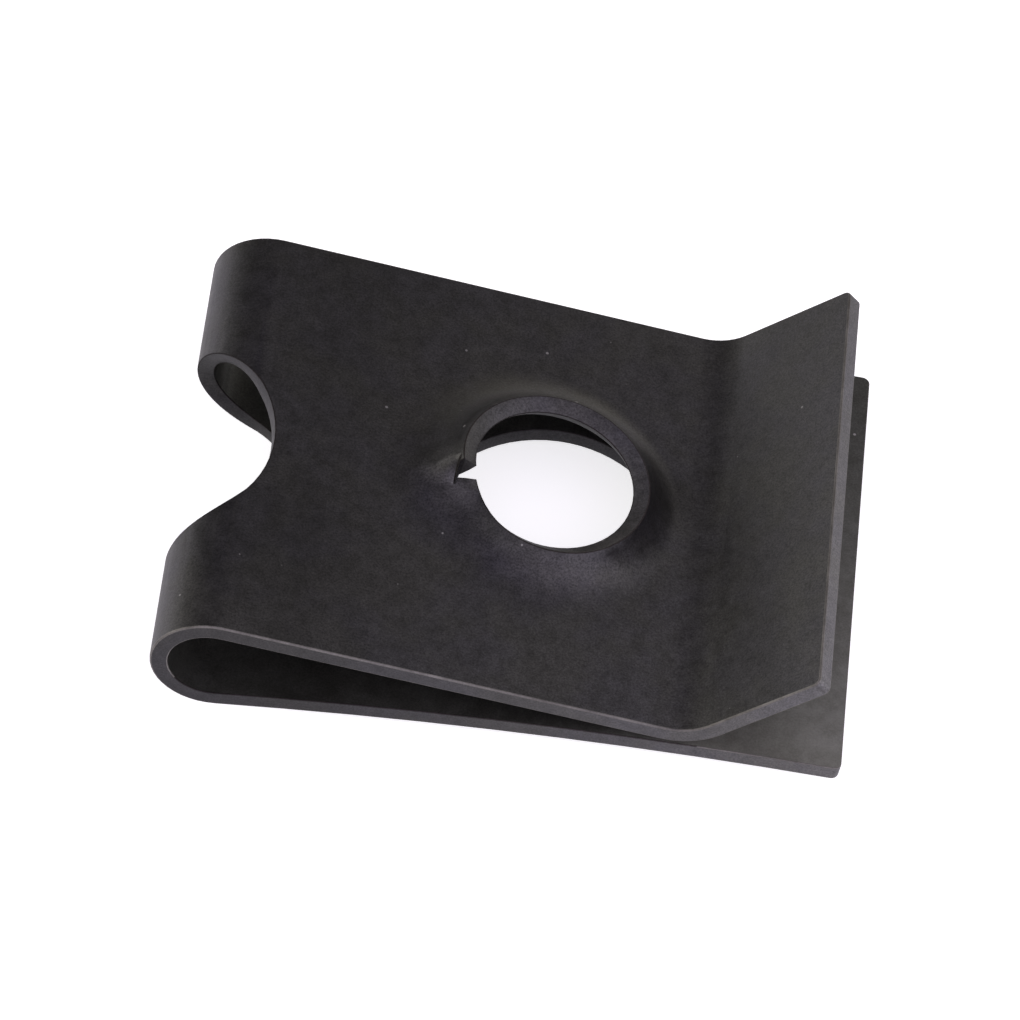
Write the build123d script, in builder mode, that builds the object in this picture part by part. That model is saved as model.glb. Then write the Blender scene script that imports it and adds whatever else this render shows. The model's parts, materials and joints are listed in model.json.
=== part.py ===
from build123d import *
from math import atan, comb, cos, degrees, hypot, radians, sin, sqrt, tan
import os

# U clip speed nut: one strip of spring steel, punched flat, folded into a U and pressed.
# The lower leaf is bowed and has a clearance hole. The upper leaf slopes down on to it, carries
# a one-turn helical lip that a tapping screw bites, and ends in a turned-up lead-in lip.
# X runs from the fold to the open end, Y across the strip, Z up from the surface it lies on.
# The origin is the centre of the footprint. Lengths are in millimetres, angles in degrees.

os.makedirs("parts", exist_ok=True)

# Strip
thickness = 0.56
width = 16.0
corner_radius = 0.25            # corners of the two free ends

# Side profile
leaf_span = 19.54               # lower leaf, from the fold's tangent line to its free end
leaf_bow = 0.40                 # rise of the lower leaf's middle above its ends
fold_radius = 1.95              # outside of the fold
upper_slope = 9.45              # fall of the upper leaf towards the open end
upper_length = 14.0             # straight part of the upper leaf, fold tangent to lip bend
lip_angle = 52.0                # turn of the lead-in lip away from the upper leaf
lip_bend_radius = 1.62          # on the upper, hollow side of the bend
lip_length = 4.19               # straight part of the lip

# Punched holes. The punches stand a little off the middle of the strip.
punch_offset = -0.15            # along Y, for the clearance hole and the thread
notch_offset = -0.23
clearance_radius = 4.0          # hole in the lower leaf that the screw passes freely
clearance_from_fold = 9.78      # fold axis to clearance hole axis
notch_radius = 4.0              # round hole punched across the fold line of the flat blank
notch_shift = 0.48              # its centre, off the fold's nose towards the lower leaf
notch_sections = 18

# Helical thread lip. Each four values pull a cubic curve round the turn, from the lip's low end
# to its high end. Rim values are at mid-thickness.
thread_from_fold = 9.57         # along the upper leaf, fold tangent to thread axis
rim_radii = (2.22, 2.20, 3.49, 2.86)
rim_heights = (0.30, 1.45, 1.12, 1.55)  # above the leaf
flank_slopes = (20.0, 74.0, 68.0, 58.0)
low_end_turn = 0.09             # the low end is pressed flatter over this much of a turn
low_end_radius = 2.50
low_end_height = 0.54
low_end_slope = 0.0
foot_radius = 4.95              # circle in which the lip's foot runs out into the leaf
foot_centre = (-0.6, 0.15)
foot_margin = 0.04              # flat rim of the pressed patch, outside the foot
section_reach = 6.2             # how far the lip sections run out into the leaf
foot_pull = 0.35                # how far the leaf's and the flank's directions hold on in the
flank_pull = 0.45               # curve that joins them, as shares of the distance
lip_sections = 32

# Slit that parts the low end of the lip from the high end
slit_angle = 185.0              # about the thread axis, from the open end
slit_half_angle = 0.4
slit_radius = 3.2               # the slit runs from the rim out to here
ramp_half_angle = 5.0           # beyond it the sheet ramps from one end to the other
ramp_sections = 6
ramp_ease = 0.45                # how far the ramp is rounded into an S

half = thickness / 2
over_cut = 0.05                 # how far a cutter reaches past a skin of the strip
fit_tolerance = 0.001

# Directions along the two leaves, away from the fold, and their upward normals
leaf_slope = 2 * degrees(atan(2 * leaf_bow / leaf_span))
across = Vector(0, 1, 0)
lower_direction = Vector(cos(radians(leaf_slope)), 0, sin(radians(leaf_slope)))
upper_direction = Vector(cos(radians(upper_slope)), 0, -sin(radians(upper_slope)))
lower_normal = lower_direction.cross(across)
upper_normal = upper_direction.cross(across)

# Where the fold's outside meets the outside of the lower leaf
tangent_x = (fold_radius - leaf_span + (fold_radius - thickness) * lower_direction.Z) / 2
tangent_z = fold_radius * (1 - lower_direction.X)
fold_axis = Vector(tangent_x, 0, tangent_z) + lower_normal * fold_radius
fold_middle = fold_radius - half
leaf_radius = leaf_span / 2 / lower_direction.Z

lower_plane = Plane(fold_axis - lower_normal * fold_middle, lower_direction, lower_normal)
upper_plane = Plane(fold_axis + upper_normal * fold_middle, upper_direction, upper_normal)
thread_axis_foot = upper_plane.origin + upper_direction * thread_from_fold + across * punch_offset
thread_plane = Plane(thread_axis_foot, upper_direction, upper_normal)


# Thread lip: radial sections round the thread axis, from the low end to the high end


def around(values, turn):
    """Cubic curve pulled by four values, from the low end to the high end."""
    return sum(comb(3, k) * v * turn**k * (1 - turn) ** (3 - k) for k, v in enumerate(values))


def lip_form(turn):
    """Rim radius, rim height and flank slope at a share of the turn."""
    form = (around(rim_radii, turn), around(rim_heights, turn), around(flank_slopes, turn))
    low_end = (low_end_radius, low_end_height, low_end_slope)
    start = (rim_radii[0], rim_heights[0], flank_slopes[0])
    press = max(0, 1 - turn / low_end_turn) ** 2
    return [value + press * (low - base) for value, low, base in zip(form, low_end, start)]


def lip_section(angle, form):
    """Radial section of the lip, angle degrees on from the slit: rim, flank, foot and leaf."""
    rim, rise, slope = form
    slope = radians(slope)
    heading = radians(slit_angle + angle)
    outward = thread_plane.x_dir * cos(heading) + thread_plane.y_dir * sin(heading)
    section_plane = Plane(thread_plane.origin, outward, outward.cross(upper_normal))
    off_line = foot_centre[0] * sin(heading) - foot_centre[1] * cos(heading)
    in_line = foot_centre[0] * cos(heading) + foot_centre[1] * sin(heading)
    foot = in_line + sqrt(foot_radius**2 - off_line**2)
    spread = foot - rim
    flank = Vector(cos(slope), -sin(slope))

    with BuildSketch(section_plane) as section:
        with BuildLine():
            skins = []
            for side in (-half, half):
                rim_edge = Vector(rim + side * sin(slope), rise + side * cos(slope))
                tighter = side * tan(slope / 4) * 4 / 3
                foot_end = Vector(foot, side)
                foot_handle = foot_end - Vector(foot_pull * spread - tighter, 0)
                rim_handle = rim_edge + flank * (flank_pull * hypot(spread, rise) - tighter)
                skins.append(Bezier(foot_end, foot_handle, rim_handle, rim_edge))
                leaf_end = Vector(section_reach, side)
                Line(leaf_end, foot_end)
            Line((section_reach, -half), (section_reach, half))
            Line(skins[0] @ 1, skins[1] @ 1)
        make_face()
    return section.sketch


ramp_turn = ramp_half_angle / 360
with BuildPart() as thread_lip:
    sections = []
    for step in range(lip_sections + 1):
        turn = ramp_turn + (1 - 2 * ramp_turn) * step / lip_sections
        sections.append(lip_section(360 * turn, lip_form(turn)))
    loft(sections)
    with BuildSketch(thread_plane.offset(-foot_radius)):
        with Locations(foot_centre):
            Circle(foot_radius + foot_margin)
    extrude(amount=2 * foot_radius, mode=Mode.INTERSECT)

# The two ends of the lip, sheared along the slit
with BuildPart() as slit_ends:
    for ramp_side, slit_side in (
        (ramp_half_angle, slit_half_angle),
        (360 - ramp_half_angle, 360 - slit_half_angle),
    ):
        loft([lip_section(side, lip_form(side / 360)) for side in (ramp_side, slit_side)], ruled=True)
    with BuildSketch(thread_plane.offset(-foot_radius)):
        Circle(slit_radius)
    extrude(amount=2 * foot_radius, mode=Mode.INTERSECT)

# Beyond the slit the sheet is whole: a steep ramp joins the high side to the low side.
with BuildPart() as slit_root:
    sections = []
    high_side = lip_form(1 - ramp_turn)
    low_side = lip_form(ramp_turn)
    for step in range(ramp_sections + 1):
        along = step / ramp_sections
        fall = along + ramp_ease * (along**2 * (3 - 2 * along) - along)
        form = [high + (low - high) * fall for high, low in zip(high_side, low_side)]
        sections.append(lip_section(ramp_half_angle * (2 * along - 1), form))
    loft(sections)
    with BuildSketch(thread_plane.offset(-foot_radius)):
        with Locations(foot_centre):
            Circle(foot_radius + foot_margin)
        Circle(slit_radius, mode=Mode.SUBTRACT)
    extrude(amount=2 * foot_radius, mode=Mode.INTERSECT)

# Notch through the fold. Its walls stay square to the strip all the way round the bend.
lower_turn = -(90 + leaf_slope)
upper_turn = 90 + upper_slope
with BuildPart() as notch_cutter:
    for step in range(notch_sections + 1):
        turn = radians(lower_turn + (upper_turn - lower_turn) * step / notch_sections)
        along_strip = fold_middle * turn + notch_shift
        outward = Vector(-cos(turn), 0, sin(turn))
        middle = fold_axis + outward * fold_middle + across * notch_offset
        with BuildSketch(Plane(middle, outward, outward.cross(across))):
            Rectangle(2 * thickness, 2 * sqrt(notch_radius**2 - along_strip**2))
    loft()

# The clip
with BuildPart() as u_clip:
    with BuildSketch(Plane.XZ):
        with BuildLine():
            lower_leaf = JernArc(
                (tangent_x + leaf_span, tangent_z),
                (-lower_direction.X, lower_direction.Z),
                leaf_radius,
                2 * leaf_slope,
            )
            fold = JernArc(lower_leaf @ 1, lower_leaf % 1, fold_radius, lower_turn - upper_turn)
            upper_leaf = Line(fold @ 1, fold @ 1 + (fold % 1) * upper_length)
            lip_bend = JernArc(upper_leaf @ 1, upper_leaf % 1, lip_bend_radius, lip_angle)
            Line(lip_bend @ 1, lip_bend @ 1 + (lip_bend % 1) * lip_length)
            offset(amount=thickness, side=Side.RIGHT)
        make_face()
    extrude(amount=width / 2, both=True)

    with BuildSketch():
        with Locations((fold_axis.X + clearance_from_fold, punch_offset)):
            Circle(clearance_radius)
    extrude(amount=leaf_bow + thickness + over_cut, mode=Mode.SUBTRACT)

    add(notch_cutter.part, mode=Mode.SUBTRACT)
    for leaf_plane, turn in ((lower_plane, -lower_turn), (upper_plane, upper_turn)):
        reach = fold_middle * radians(turn)
        shift = notch_shift if leaf_plane is lower_plane else -notch_shift
        with BuildSketch(leaf_plane):
            with Locations((shift - reach, notch_offset)):
                Circle(notch_radius)
            Rectangle(
                notch_radius,
                width,
                align=(Align.MIN, Align.CENTER),
                mode=Mode.INTERSECT,
            )
        extrude(amount=half + over_cut, both=True, mode=Mode.SUBTRACT)

    with BuildSketch(thread_plane):
        with Locations(foot_centre):
            Circle(foot_radius + foot_margin)
    extrude(amount=half + over_cut, both=True, mode=Mode.SUBTRACT)
    add(thread_lip.part)
    add(slit_ends.part)
    add(slit_root.part)

    end_corners = u_clip.edges().filter_by(
        lambda edge: abs(abs(edge.center().Y) - width / 2) < fit_tolerance
        and abs(edge.length - thickness) < fit_tolerance
    )
    fillet(end_corners, radius=corner_radius)

u_clip.part.label = "u_clip"
export_step(u_clip.part, "parts/u_clip.step")
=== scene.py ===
import bpy
import json
import math
from mathutils import Matrix, Vector

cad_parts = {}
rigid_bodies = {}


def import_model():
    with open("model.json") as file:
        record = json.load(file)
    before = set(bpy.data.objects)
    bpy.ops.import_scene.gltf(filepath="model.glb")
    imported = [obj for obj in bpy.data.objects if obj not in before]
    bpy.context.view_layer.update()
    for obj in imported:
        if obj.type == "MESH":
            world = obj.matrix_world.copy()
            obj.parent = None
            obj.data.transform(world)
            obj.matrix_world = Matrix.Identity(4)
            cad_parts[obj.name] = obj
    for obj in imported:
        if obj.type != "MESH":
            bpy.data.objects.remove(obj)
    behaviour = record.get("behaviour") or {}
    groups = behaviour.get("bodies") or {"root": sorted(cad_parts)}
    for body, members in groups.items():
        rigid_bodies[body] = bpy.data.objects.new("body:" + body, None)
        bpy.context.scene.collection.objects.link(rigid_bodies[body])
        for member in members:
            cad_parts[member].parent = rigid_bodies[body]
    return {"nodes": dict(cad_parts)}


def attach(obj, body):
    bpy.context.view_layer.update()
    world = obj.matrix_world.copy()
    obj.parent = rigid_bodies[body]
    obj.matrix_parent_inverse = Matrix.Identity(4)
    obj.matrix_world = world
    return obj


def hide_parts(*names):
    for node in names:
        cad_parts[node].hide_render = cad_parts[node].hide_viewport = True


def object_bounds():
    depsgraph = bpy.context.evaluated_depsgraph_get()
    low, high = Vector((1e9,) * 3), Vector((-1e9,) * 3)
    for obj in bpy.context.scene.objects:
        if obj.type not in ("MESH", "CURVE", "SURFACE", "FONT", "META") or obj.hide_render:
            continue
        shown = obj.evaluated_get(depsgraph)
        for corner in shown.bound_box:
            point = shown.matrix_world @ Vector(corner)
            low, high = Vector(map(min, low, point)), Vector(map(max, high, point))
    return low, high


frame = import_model()
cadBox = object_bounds()
print("frame loaded:", ", ".join(frame["nodes"]))

millimetre = 0.001
nodeSpacing = 220        # between shader nodes in the editor


def deselectAll():
    if bpy.context.object and bpy.context.object.mode != "OBJECT":
        bpy.ops.object.mode_set(mode="OBJECT")
    bpy.ops.object.select_all(action="DESELECT")


def makeActive(item):
    deselectAll()
    item.select_set(True)
    bpy.context.view_layer.objects.active = item


# phosphated and oiled spring steel. Scales are per mm, and depths are shares of the sheen
skinFinish = {
    "dark": (0.0066, 0.0062, 0.0064, 1),
    "light": (0.0096, 0.0089, 0.0100, 1),
    "oil": (0.0092, 0.0087, 0.0079, 1),        # olive brown
    "oilAmount": 0.45,
    "coolSheen": (0.99, 0.975, 1.03, 1),
    "warmSheen": (1.02, 1.01, 0.98, 1),
    "metallic": 0.0,
    "specular": 0.585,
    "roughness": (0.36, 0.48),
    "roughnessRange": (0.3, 0.7),               # of the mottle
    "mottle": {"scale": 1.9, "detail": 5.0, "roughness": 0.62},
    "mottleRange": (0.36, 0.66),
    "mottleDepth": 0.14,
    "film": {"scale": 0.42, "detail": 3.0, "roughness": 0.55},
    "oilRange": (0.42, 0.62),
    "sheenRange": (0.42, 0.58),
    "grain": {"scale": 15, "detail": 3.0, "roughness": 0.7},
    "grainRange": (0.3, 0.7),
    "grainDepth": 0.50,
    "grainHeight": 0.0025,                      # mm
    "pits": {"scale": 2.2, "size": 0.14, "softness": 2.2},
    "pitDepth": 0.08,
    "specks": {"scale": 0.80, "size": 0.030, "softness": 1.6},
    "speckColour": (0.17, 0.165, 0.16, 1),
    # how strongly the finish shows along the clip and across it, partly the oil film's own
    # variation and partly painted shade and highlight where the light falls off: mm, share
    "along": (
        (-10.8, 1.0), (-9.9, 0.70), (-6.5, 0.60), (-2.0, 0.77), (5.5, 0.95),
        (7.2, 0.82), (8.2, 0.82), (9.8, 0.96), (10.8, 0.98),
    ),
    "across": ((-7.0, 1.20), (7.0, 0.86)),
    # spots where it shows more or less, the two darker ones painted shade: centre in mm, reach in
    # mm, share it adds
    "lighterAndDarkerSpots": (
        ((-1.75, -0.4, 2.75), 1.15, 1.4),       # brighter where the slit opens
        ((4.6, 1.2, 1.65), 1.7, -0.35),         # painted shade at the foot on the open side
        ((-8.0, -4.0, 3.2), 4.5, -0.22),        # painted shade by the fold
    ),
    # paler towards the bare end of the lower leaf: mm, and how many times paler it adds
    "palingAlong": (2.0, 7.5),
    "palingAcross": (11.0, -8.0),
    "paling": 0.0,
}
innerFinish = dict(
    skinFinish,
    dark=(0.0187, 0.0188, 0.0163, 1),
    light=(0.0236, 0.0237, 0.0212, 1),
    coolSheen=(0.91, 0.935, 0.88, 1),
    warmSheen=(0.935, 0.945, 0.86, 1),
    paling=4.0,
)
shearFinish = dict(
    skinFinish,
    dark=(0.009, 0.0086, 0.0086, 1),
    light=(0.018, 0.0171, 0.0170, 1),
    oilAmount=0.3,
    specular=0.68,
    mottle=dict(skinFinish["mottle"], scale=2.6),
    grainHeight=0.005,
    pitDepth=0.05,
    # painted shade and highlight along the cut faces: darker by the fold, lighter towards the open
    # end
    along=((-10.8, 0.50), (-5.5, 0.56), (1.0, 0.86), (6.0, 1.15), (10.8, 1.55)),
)
# rubbed edges: steel worn bare, and a painted highlight many times lighter than the skin
wornAndHighlitFinish = dict(
    shearFinish,
    dark=(0.076, 0.072, 0.066, 1),
    light=(0.132, 0.126, 0.115, 1),
    coolSheen=(1.01, 0.99, 0.94, 1),
    warmSheen=(1.03, 0.99, 0.91, 1),
    metallic=0.25,
    roughness=(0.30, 0.40),
    mottle=dict(skinFinish["mottle"], scale=1.6),
    # painted highlight along the edges, a little weaker towards the middle and the open end
    along=((-10.8, 0.95), (-5.0, 0.90), (1.0, 0.80), (10.8, 0.84)),
)
rimFinish = dict(
    shearFinish,
    dark=(0.012, 0.0095, 0.0085, 1),
    light=(0.020, 0.0165, 0.0150, 1),
    specular=0.20,
)


def feed(tree, socket, value):
    # a socket takes another node's output or a plain value
    if isinstance(value, bpy.types.NodeSocket):
        tree.links.new(value, socket)
    else:
        socket.default_value = value


def addNode(tree, kind, **settings):
    # new nodes stand in a row, in the order they are made
    node = tree.nodes.new(kind)
    node.location = (nodeSpacing * len(tree.nodes), 0)
    for name, value in settings.items():
        if hasattr(node, name):
            setattr(node, name, value)
        else:
            feed(tree, node.inputs[name.replace("_", " ")], value)
    return node


def calculated(tree, operation, *values):
    node = addNode(tree, "ShaderNodeMath", operation=operation)
    for socket, value in zip(node.inputs, values):
        feed(tree, socket, value)
    return node.outputs["Value"]


def vectorNode(tree, operation, *values, **settings):
    node = addNode(tree, "ShaderNodeVectorMath", operation=operation, **settings)
    for socket, value in zip(node.inputs, values):
        feed(tree, socket, value)
    return node


def mapped(tree, value, ends, results=(0.0, 1.0), ease="LINEAR"):
    # the first end of a value becomes the first result, and the second the second
    node = addNode(
        tree, "ShaderNodeMapRange", interpolation_type=ease, Value=value,
        From_Min=ends[0], From_Max=ends[1], To_Min=results[0], To_Max=results[1],
    )
    return node.outputs["Result"]


def mixColours(tree, factor, first, second, blend="MIX"):
    node = addNode(tree, "ShaderNodeMix", data_type="RGBA", blend_type=blend)
    # these are the inputs and the output of a mix of colours
    for number, value in ((0, factor), (6, first), (7, second)):
        feed(tree, node.inputs[number], value)
    return node.outputs[2]


def clouds(tree, coordinates, look):
    node = addNode(
        tree, "ShaderNodeTexNoise", Vector=coordinates,
        Scale=look["scale"], Detail=look["detail"], Roughness=look["roughness"],
    )
    return node.outputs["Fac"]


def spots(tree, coordinates, look):
    # round marks scattered at random, 0 inside a mark and 1 outside
    cells = addNode(
        tree, "ShaderNodeTexVoronoi", Vector=coordinates, Scale=look["scale"], Randomness=1.0,
    )
    ends = (look["size"], look["size"] * look["softness"])
    return mapped(tree, cells.outputs["Distance"], ends, ease="SMOOTHSTEP")


def curveOf(tree, value, points):
    # straight runs between the points, level beyond them
    first, last = points[0][0], points[-1][0]
    ramp = addNode(tree, "ShaderNodeValToRGB", Fac=mapped(tree, value, (first, last)))
    stops = ramp.color_ramp.elements
    while len(stops) < len(points):
        stops.new(0.5)           # moved to its own place below
    for stop, (where, share) in zip(stops, points):
        stop.position = (where - first) / (last - first)
        stop.color = (share, share, share, 1)
    return ramp.outputs["Color"]


def filmAndPaintedShadeOf(tree, coordinates, place, look):
    # how strongly the finish shows at a place, partly the oil film and partly painted shade and
    # highlight
    along = curveOf(tree, place.outputs["X"], look["along"])
    across = curveOf(tree, place.outputs["Y"], look["across"])
    strength = calculated(tree, "MULTIPLY", along, across)
    for centre, reach, share in look["lighterAndDarkerSpots"]:
        away = vectorNode(tree, "DISTANCE", coordinates, centre).outputs["Value"]
        mark = mapped(tree, away, (0.0, reach), (1 + share, 1.0), "SMOOTHSTEP")
        strength = calculated(tree, "MULTIPLY", strength, mark)
    return strength


def palingOf(tree, place, look):
    # how many times paler a place is made
    along = mapped(tree, place.outputs["X"], look["palingAlong"], ease="SMOOTHSTEP")
    across = mapped(tree, place.outputs["Y"], look["palingAcross"], ease="SMOOTHSTEP")
    share = calculated(tree, "MULTIPLY", along, across)
    return calculated(tree, "MULTIPLY_ADD", share, look["paling"], 1.0)


def colourOf(tree, coordinates, mottle, film, look):
    # mottled steel under its oil, with a few bright specks
    steel = mixColours(tree, mapped(tree, mottle, look["mottleRange"]), look["dark"], look["light"])
    oilShare = mapped(tree, film, look["oilRange"], (0.0, look["oilAmount"]))
    oiled = mixColours(tree, oilShare, steel, look["oil"])
    return mixColours(tree, spots(tree, coordinates, look["specks"]), look["speckColour"], oiled)


def sheenOf(tree, coordinates, mottle, film, grain, look):
    # cooler and warmer areas, soft mottling, pits and a fine satin grain
    areas = mapped(tree, film, look["sheenRange"])
    sheen = mixColours(tree, areas, look["coolSheen"], look["warmSheen"])
    pits = spots(tree, coordinates, look["pits"])
    for value, ends, depth in (
        (mottle, look["mottleRange"], look["mottleDepth"]),
        (pits, (0.0, 1.0), look["pitDepth"]),
        (grain, look["grainRange"], look["grainDepth"]),
    ):
        share = mapped(tree, value, ends, (1 - depth, 1 + depth))
        sheen = mixColours(tree, 1.0, sheen, share, "MULTIPLY")
    return sheen


def steelFinish(name, look):
    material = bpy.data.materials.new(name)
    material.use_nodes = True
    tree = material.node_tree
    tree.nodes.clear()

    origin = addNode(tree, "ShaderNodeTexCoord")
    inMillimetres = addNode(
        tree, "ShaderNodeMapping", Vector=origin.outputs["Object"], Scale=(1 / millimetre,) * 3,
    )
    coordinates = inMillimetres.outputs["Vector"]
    place = addNode(tree, "ShaderNodeSeparateXYZ", Vector=coordinates)
    mottle = clouds(tree, coordinates, look["mottle"])
    film = clouds(tree, coordinates, look["film"])
    grain = clouds(tree, coordinates, look["grain"])
    strength = filmAndPaintedShadeOf(tree, coordinates, place, look)

    colour = colourOf(tree, coordinates, mottle, film, look)
    # the colour carries the painted shade and highlight, and so does the sheen below
    colour = mixColours(tree, 1.0, colour, strength, "MULTIPLY")
    colour = mixColours(tree, 1.0, colour, palingOf(tree, place, look), "MULTIPLY")
    sheen = sheenOf(tree, coordinates, mottle, film, grain, look)
    # painted shade and highlight on the sheen
    sheen = mixColours(tree, 1.0, sheen, strength, "MULTIPLY")
    bump = addNode(
        tree, "ShaderNodeBump", Strength=1.0, Height=grain,
        Distance=look["grainHeight"] * millimetre,
    )
    shader = addNode(
        tree, "ShaderNodeBsdfPrincipled", Base_Color=colour, Metallic=look["metallic"],
        Roughness=mapped(tree, mottle, look["roughnessRange"], look["roughness"]),
        Specular_IOR_Level=look["specular"], Specular_Tint=sheen, Normal=bump.outputs["Normal"],
    )
    addNode(tree, "ShaderNodeOutputMaterial", Surface=shader.outputs["BSDF"])
    print("finish ready:", name)
    return material


clip = {
    "nodeName": "u_clip",
    "pieceName": "pressedClip",
    "bodyName": "root",
    "slotName": "black_spring_steel",
    "mergeDistance": 0.0005,     # mm, closes the seams between loose triangles
    "flatAngle": 0.15,           # degrees, facets flatter than this become one face
    "patchCentre": (0.225, 0, 2.124),  # mm, pressed patch round the thread
    "patchRadius": 4.98,         # mm
    "patchFloor": -0.9,          # mm, between the leaves
    "leafSlope": 9.45,           # degrees
    "skinAngle": 24,             # degrees, the skin ends where two faces meet sharper than this
    "rolledEdge": 0.060,         # mm, the strip's long edges, on the outside of the fold
    "punchedEdge": 0.035,        # mm, every other edge
    "edgeBand": 0.3,             # mm, how near the strip's long sides an edge counts as long
    "roundingSteps": 3,
    "roundProfile": 0.5,         # a circle's arc
    "rubbedAndHighlitFrom": 9.0,           # mm along, from where the leaves' ends are rubbed and carry a painted highlight
    "lowerLeafTop": 1.2,         # mm up, above the lower leaf's edges
    "bareAndHighlitFrom": 7.0,             # mm along, from where the lower leaf's edges are rubbed and carry a painted highlight too
    "facingInwards": 0.97,       # how squarely the inside of the fold faces the open end
    "clearOfHoles": 5,           # mm across, outside the notch and the holes
    "normalWeight": 80,
}
skinSlot, innerSlot, shearSlot, wornAndHighlitSlot, rimSlot = range(5)
finishes = (
    ("phosphatedSteel", skinFinish),
    ("innerSteel", innerFinish),
    ("shearedSteel", shearFinish),
    ("rubbedAndHighlitEdge", wornAndHighlitFinish),
    ("punchedRim", rimFinish),
)


def copyOfNode(nodeName, pieceName):
    makeActive(frame["nodes"][nodeName])
    bpy.ops.object.duplicate()
    piece = bpy.context.object
    bpy.ops.object.parent_clear(type="CLEAR_KEEP_TRANSFORM")
    piece.name = pieceName
    for key in list(piece.keys()):
        del piece[key]           # the copy is a piece of its own, not the node
    return piece


def onAllFaces(piece, operator, **settings):
    makeActive(piece)
    bpy.ops.object.mode_set(mode="EDIT")
    bpy.ops.mesh.select_mode(type="FACE")
    bpy.ops.mesh.select_all(action="SELECT")
    operator(**settings)
    bpy.ops.object.mode_set(mode="OBJECT")


def skinFrom(piece, seed):
    # grows one side of the sheet from a single face, out to its sheared edges
    bpy.ops.object.mode_set(mode="EDIT")
    bpy.ops.mesh.select_all(action="DESELECT")
    bpy.ops.object.mode_set(mode="OBJECT")
    piece.data.polygons[seed].select = True
    bpy.ops.object.mode_set(mode="EDIT")
    bpy.ops.mesh.faces_select_linked_flat(sharpness=math.radians(clip["skinAngle"]))
    bpy.ops.object.mode_set(mode="OBJECT")
    return {face.index for face in piece.data.polygons if face.select}


def sidesOf(piece):
    # outside and inside of the U, both grown from the fold, and the sheared faces between them
    faces = piece.data.polygons
    outerSeed = min(range(len(faces)), key=lambda i: faces[i].center.x)
    clear = clip["clearOfHoles"] * millimetre
    facingIn = [i for i in range(len(faces))
                if faces[i].normal.x > clip["facingInwards"] and abs(faces[i].center.y) > clear]
    innerSeed = min(facingIn, key=lambda i: faces[i].center.x)
    outer = skinFrom(piece, outerSeed)
    inner = skinFrom(piece, innerSeed)
    sheared = set(range(len(faces))) - outer - inner
    print("faces outside, inside and sheared:", len(outer), len(inner), len(sheared))
    return outer, inner, sheared


def giveSlots(piece, outer, inner):
    for face in piece.data.polygons:
        if face.index in outer:
            face.material_index = skinSlot
        else:
            face.material_index = innerSlot if face.index in inner else shearSlot


def edgesBetween(piece, onePart, otherPart):
    sides = {}
    for face in piece.data.polygons:
        for key in face.edge_keys:
            sides.setdefault(key, []).append(face.index)
    return {key for key, pair in sides.items()
            if len(pair) == 2 and (pair[0] in onePart) != (pair[1] in onePart)
            and (pair[0] in otherPart or pair[1] in otherPart)}


def applied(piece, kind, **settings):
    makeActive(piece)
    modifier = piece.modifiers.new(kind.lower(), kind)
    for name, value in settings.items():
        setattr(modifier, name, value)
    bpy.ops.object.modifier_apply(modifier=modifier.name)


def edgeWidths(piece, outer, inner, sheared):
    # the shear rolls the strip's long edges over on the outside, and leaves the others crisp
    nearSide = cadBox[1][1] - clip["edgeBand"] * millimetre
    widths = {key: clip["punchedEdge"] for key in edgesBetween(piece, inner, sheared)}
    for key in edgesBetween(piece, outer, sheared):
        isLong = min(abs(piece.data.vertices[i].co.y) for i in key) > nearSide
        widths[key] = clip["rolledEdge"] if isLong else clip["punchedEdge"]
    return widths


def roundEdges(piece, widths):
    weights = piece.data.attributes.new("bevel_weight_edge", "FLOAT", "EDGE")
    for edge in piece.data.edges:
        weights.data[edge.index].value = widths.get(edge.key, 0) / clip["rolledEdge"]
    # the rounded edges take the rubbed finish with its painted highlight
    applied(piece, "BEVEL", limit_method="WEIGHT", offset_type="OFFSET",
            width=clip["rolledEdge"] * millimetre, segments=clip["roundingSteps"],
            profile=clip["roundProfile"], use_clamp_overlap=False, loop_slide=False,
            material=wornAndHighlitSlot, miter_outer="MITER_SHARP")


def dullRims(piece):
    # only the strip's outer edges get rubbed, with a painted highlight, not those of the holes or
    # between the leaves
    nearSide = cadBox[1][1] - clip["edgeBand"] * millimetre
    for face in piece.data.polygons:
        place = face.center / millimetre
        inHole = abs(face.center.y) < nearSide and place.x < clip["rubbedAndHighlitFrom"]
        onLowerLeaf = place.z < clip["lowerLeafTop"] and place.x < clip["bareAndHighlitFrom"]
        betweenLeaves = face.normal.z > 0 and onLowerLeaf
        if face.material_index == wornAndHighlitSlot and (inHole or betweenLeaves):
            face.material_index = rimSlot


def partPatch(piece):
    # the pressed patch round the thread gets a slot of its own, so that its flat rim stays whole
    foot = Vector(clip["patchCentre"]) * millimetre
    slope = math.radians(clip["leafSlope"])
    upright = Vector((math.sin(slope), 0, math.cos(slope)))
    count = 0
    for face in piece.data.polygons:
        offset = face.center - foot
        near = offset.cross(upright).length < clip["patchRadius"] * millimetre
        inPatch = near and offset.z > clip["patchFloor"] * millimetre
        face.material_index = shearSlot if inPatch else skinSlot
        count += inPatch
    print("faces in the pressed patch:", count)


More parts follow.
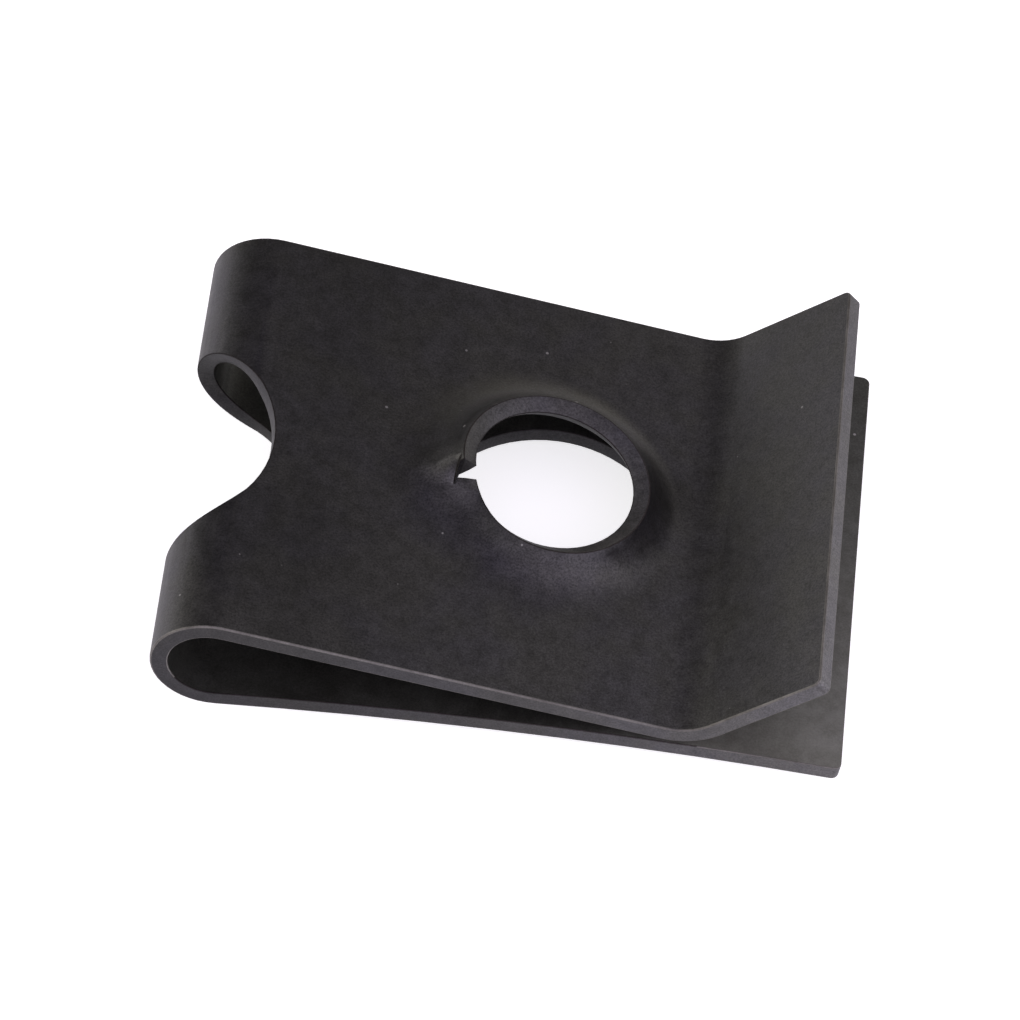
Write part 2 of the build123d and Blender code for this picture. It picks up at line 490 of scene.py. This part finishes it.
def makeClip():
    piece = copyOfNode(clip["nodeName"], clip["pieceName"])
    onAllFaces(piece, bpy.ops.mesh.remove_doubles, threshold=clip["mergeDistance"] * millimetre)
    piece.data.materials.clear()
    for name, look in finishes:
        piece.data.materials.append(steelFinish(name, look))
    partPatch(piece)
    onAllFaces(piece, bpy.ops.mesh.dissolve_limited, angle_limit=math.radians(clip["flatAngle"]),
               delimit={"MATERIAL"})
    outer, inner, sheared = sidesOf(piece)
    giveSlots(piece, outer, inner)
    roundEdges(piece, edgeWidths(piece, outer, inner, sheared))
    dullRims(piece)
    makeActive(piece)
    skinAngle = math.radians(clip["skinAngle"])
    bpy.ops.object.shade_smooth_by_angle(angle=skinAngle, keep_sharp_edges=False)
    applied(piece, "WEIGHTED_NORMAL", keep_sharp=True, weight=clip["normalWeight"])
    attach(piece, clip["bodyName"])
    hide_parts(clip["nodeName"])
    print("clip made:", len(piece.data.polygons), "faces")


makeClip()

studio = {
    "floorSize": 4.0,            # m
    "floorColour": (0.80, 0.80, 0.80, 1),
    "floorGlow": 0.70,           # as the camera sees it
    "floorGleam": 0.22,          # as a shiny surface sees it
    "roomLight": (0.010, 0.010, 0.010, 1),
    "backdrop": (0.40, 10),      # strength at the horizon, and how fast it fades upwards
    # soft panels round the clip: degrees round it (0 in front, 90 on the right), degrees up,
    # how narrow, and colour times strength
    "panels": (
        (0, 22, 7, (1.37, 1.24, 1.70)),
        (45, 8, 8, (1.10, 1.07, 1.15)),
        (90, 8, 8, (1.68, 1.62, 1.67)),
        (162, 8, 7, (0.92, 0.85, 0.76)),
        (195, 50, 9, (0.08, 0.08, 0.08)),
        (270, 8, 8, (2.95, 2.85, 2.70)),
        (60, 42, 7, (1.05, 0.94, 1.10)),
        (120, 42, 7, (0.33, 0.33, 0.33)),
        (300, 42, 7, (0.90, 0.85, 0.78)),
        (0, 85, 7, (0.31, 0.27, 0.46)),
    ),
}


def directionTo(azimuth, elevation):
    around, up = math.radians(azimuth), math.radians(elevation)
    return math.sin(around) * math.cos(up), -math.cos(around) * math.cos(up), math.sin(up)


def tinted(tree, colour, strength):
    return vectorNode(tree, "SCALE", colour, Scale=strength).outputs["Vector"]


def backdropLight(tree, direction):
    # pale all round, strongest at the horizon
    strength, fade = studio["backdrop"]
    parts = addNode(tree, "ShaderNodeSeparateXYZ", Vector=direction)
    height = calculated(tree, "ABSOLUTE", parts.outputs["Z"])
    glow = calculated(tree, "EXPONENT", calculated(tree, "MULTIPLY", height, -fade))
    return tinted(tree, (strength,) * 3, glow)


def panelLight(tree, direction, panel):
    # the glow of one panel: brightest straight at its middle, and fading round it
    azimuth, elevation, narrowness, colour = panel
    facing = vectorNode(tree, "DOT_PRODUCT", direction, directionTo(azimuth, elevation))
    fall = calculated(tree, "MULTIPLY_ADD", facing.outputs["Value"], narrowness, -narrowness)
    return tinted(tree, colour, calculated(tree, "EXPONENT", fall))


def makeWorld():
    world = bpy.data.worlds.new("paleStudio")
    bpy.context.scene.world = world
    world.use_nodes = True
    tree = world.node_tree
    tree.nodes.clear()
    direction = addNode(tree, "ShaderNodeTexCoord").outputs["Generated"]
    total = addNode(tree, "ShaderNodeRGB").outputs["Color"]
    total.default_value = studio["roomLight"]
    lights = [backdropLight(tree, direction)]
    lights += [panelLight(tree, direction, panel) for panel in studio["panels"]]
    for light in lights:
        total = vectorNode(tree, "ADD", total, light).outputs["Vector"]
    room = addNode(tree, "ShaderNodeBackground", Color=total)
    white = addNode(tree, "ShaderNodeBackground", Color=(1, 1, 1, 1))
    rays = addNode(tree, "ShaderNodeLightPath")
    seen = addNode(tree, "ShaderNodeMixShader")
    backgrounds = (room.outputs["Background"], white.outputs["Background"])
    for socket, source in zip(seen.inputs, (rays.outputs["Is Camera Ray"], *backgrounds)):
        feed(tree, socket, source)
    addNode(tree, "ShaderNodeOutputWorld", Surface=seen.outputs["Shader"])


def makeFloor():
    deselectAll()
    bpy.ops.mesh.primitive_plane_add(size=studio["floorSize"])
    floor = bpy.context.object
    floor.name = "paleFloor"
    material = bpy.data.materials.new("paleFloor")
    material.use_nodes = True
    tree = material.node_tree
    tree.nodes.clear()
    rays = addNode(tree, "ShaderNodeLightPath").outputs
    shiny = calculated(tree, "MAXIMUM", rays["Is Glossy Ray"], rays["Is Transmission Ray"])
    gleam = calculated(tree, "MULTIPLY", shiny, studio["floorGleam"])
    strength = calculated(tree, "MULTIPLY_ADD", rays["Is Camera Ray"], studio["floorGlow"], gleam)
    matt = addNode(tree, "ShaderNodeBsdfDiffuse", Color=studio["floorColour"])
    glow = addNode(tree, "ShaderNodeEmission", Strength=strength)
    both = addNode(tree, "ShaderNodeAddShader")
    for socket, source in zip(both.inputs, (matt.outputs["BSDF"], glow.outputs["Emission"])):
        feed(tree, socket, source)
    addNode(tree, "ShaderNodeOutputMaterial", Surface=both.outputs["Shader"])
    floor.data.materials.append(material)


viewPoint = {
    "azimuth": -0.123,           # degrees round the clip, 0 looks along +Y
    "elevation": 51.215,
    "roll": 7.064,
    "distance": 192.60,          # mm from the aim point
    "aim": (-0.335, 1.1305, 0),  # mm
    "lens": 211.87,              # mm
    "sensor": 36,                # mm
    "clipping": (0.01, 20),      # m, nearest and farthest that it shows
}


def makeCamera():
    around, roll = math.radians(viewPoint["azimuth"]), math.radians(viewPoint["roll"])
    backward = Vector(directionTo(viewPoint["azimuth"], viewPoint["elevation"]))
    level = Vector((math.cos(around), math.sin(around), 0))
    upright = backward.cross(level)
    sideways = level * math.cos(roll) + upright * math.sin(roll)
    top = backward.cross(sideways)
    deselectAll()
    bpy.ops.object.camera_add()
    camera = bpy.context.object
    camera.name = "clipCamera"
    turn = Matrix((sideways, top, backward)).transposed().to_4x4()
    eye = (Vector(viewPoint["aim"]) + backward * viewPoint["distance"]) * millimetre
    camera.matrix_world = Matrix.Translation(eye) @ turn
    camera.data.lens = viewPoint["lens"]
    camera.data.sensor_width = viewPoint["sensor"]
    camera.data.clip_start, camera.data.clip_end = viewPoint["clipping"]
    bpy.context.scene.camera = camera


makeWorld()
makeFloor()
makeCamera()
bpy.context.scene.view_settings.view_transform = "Standard"
print("studio ready")
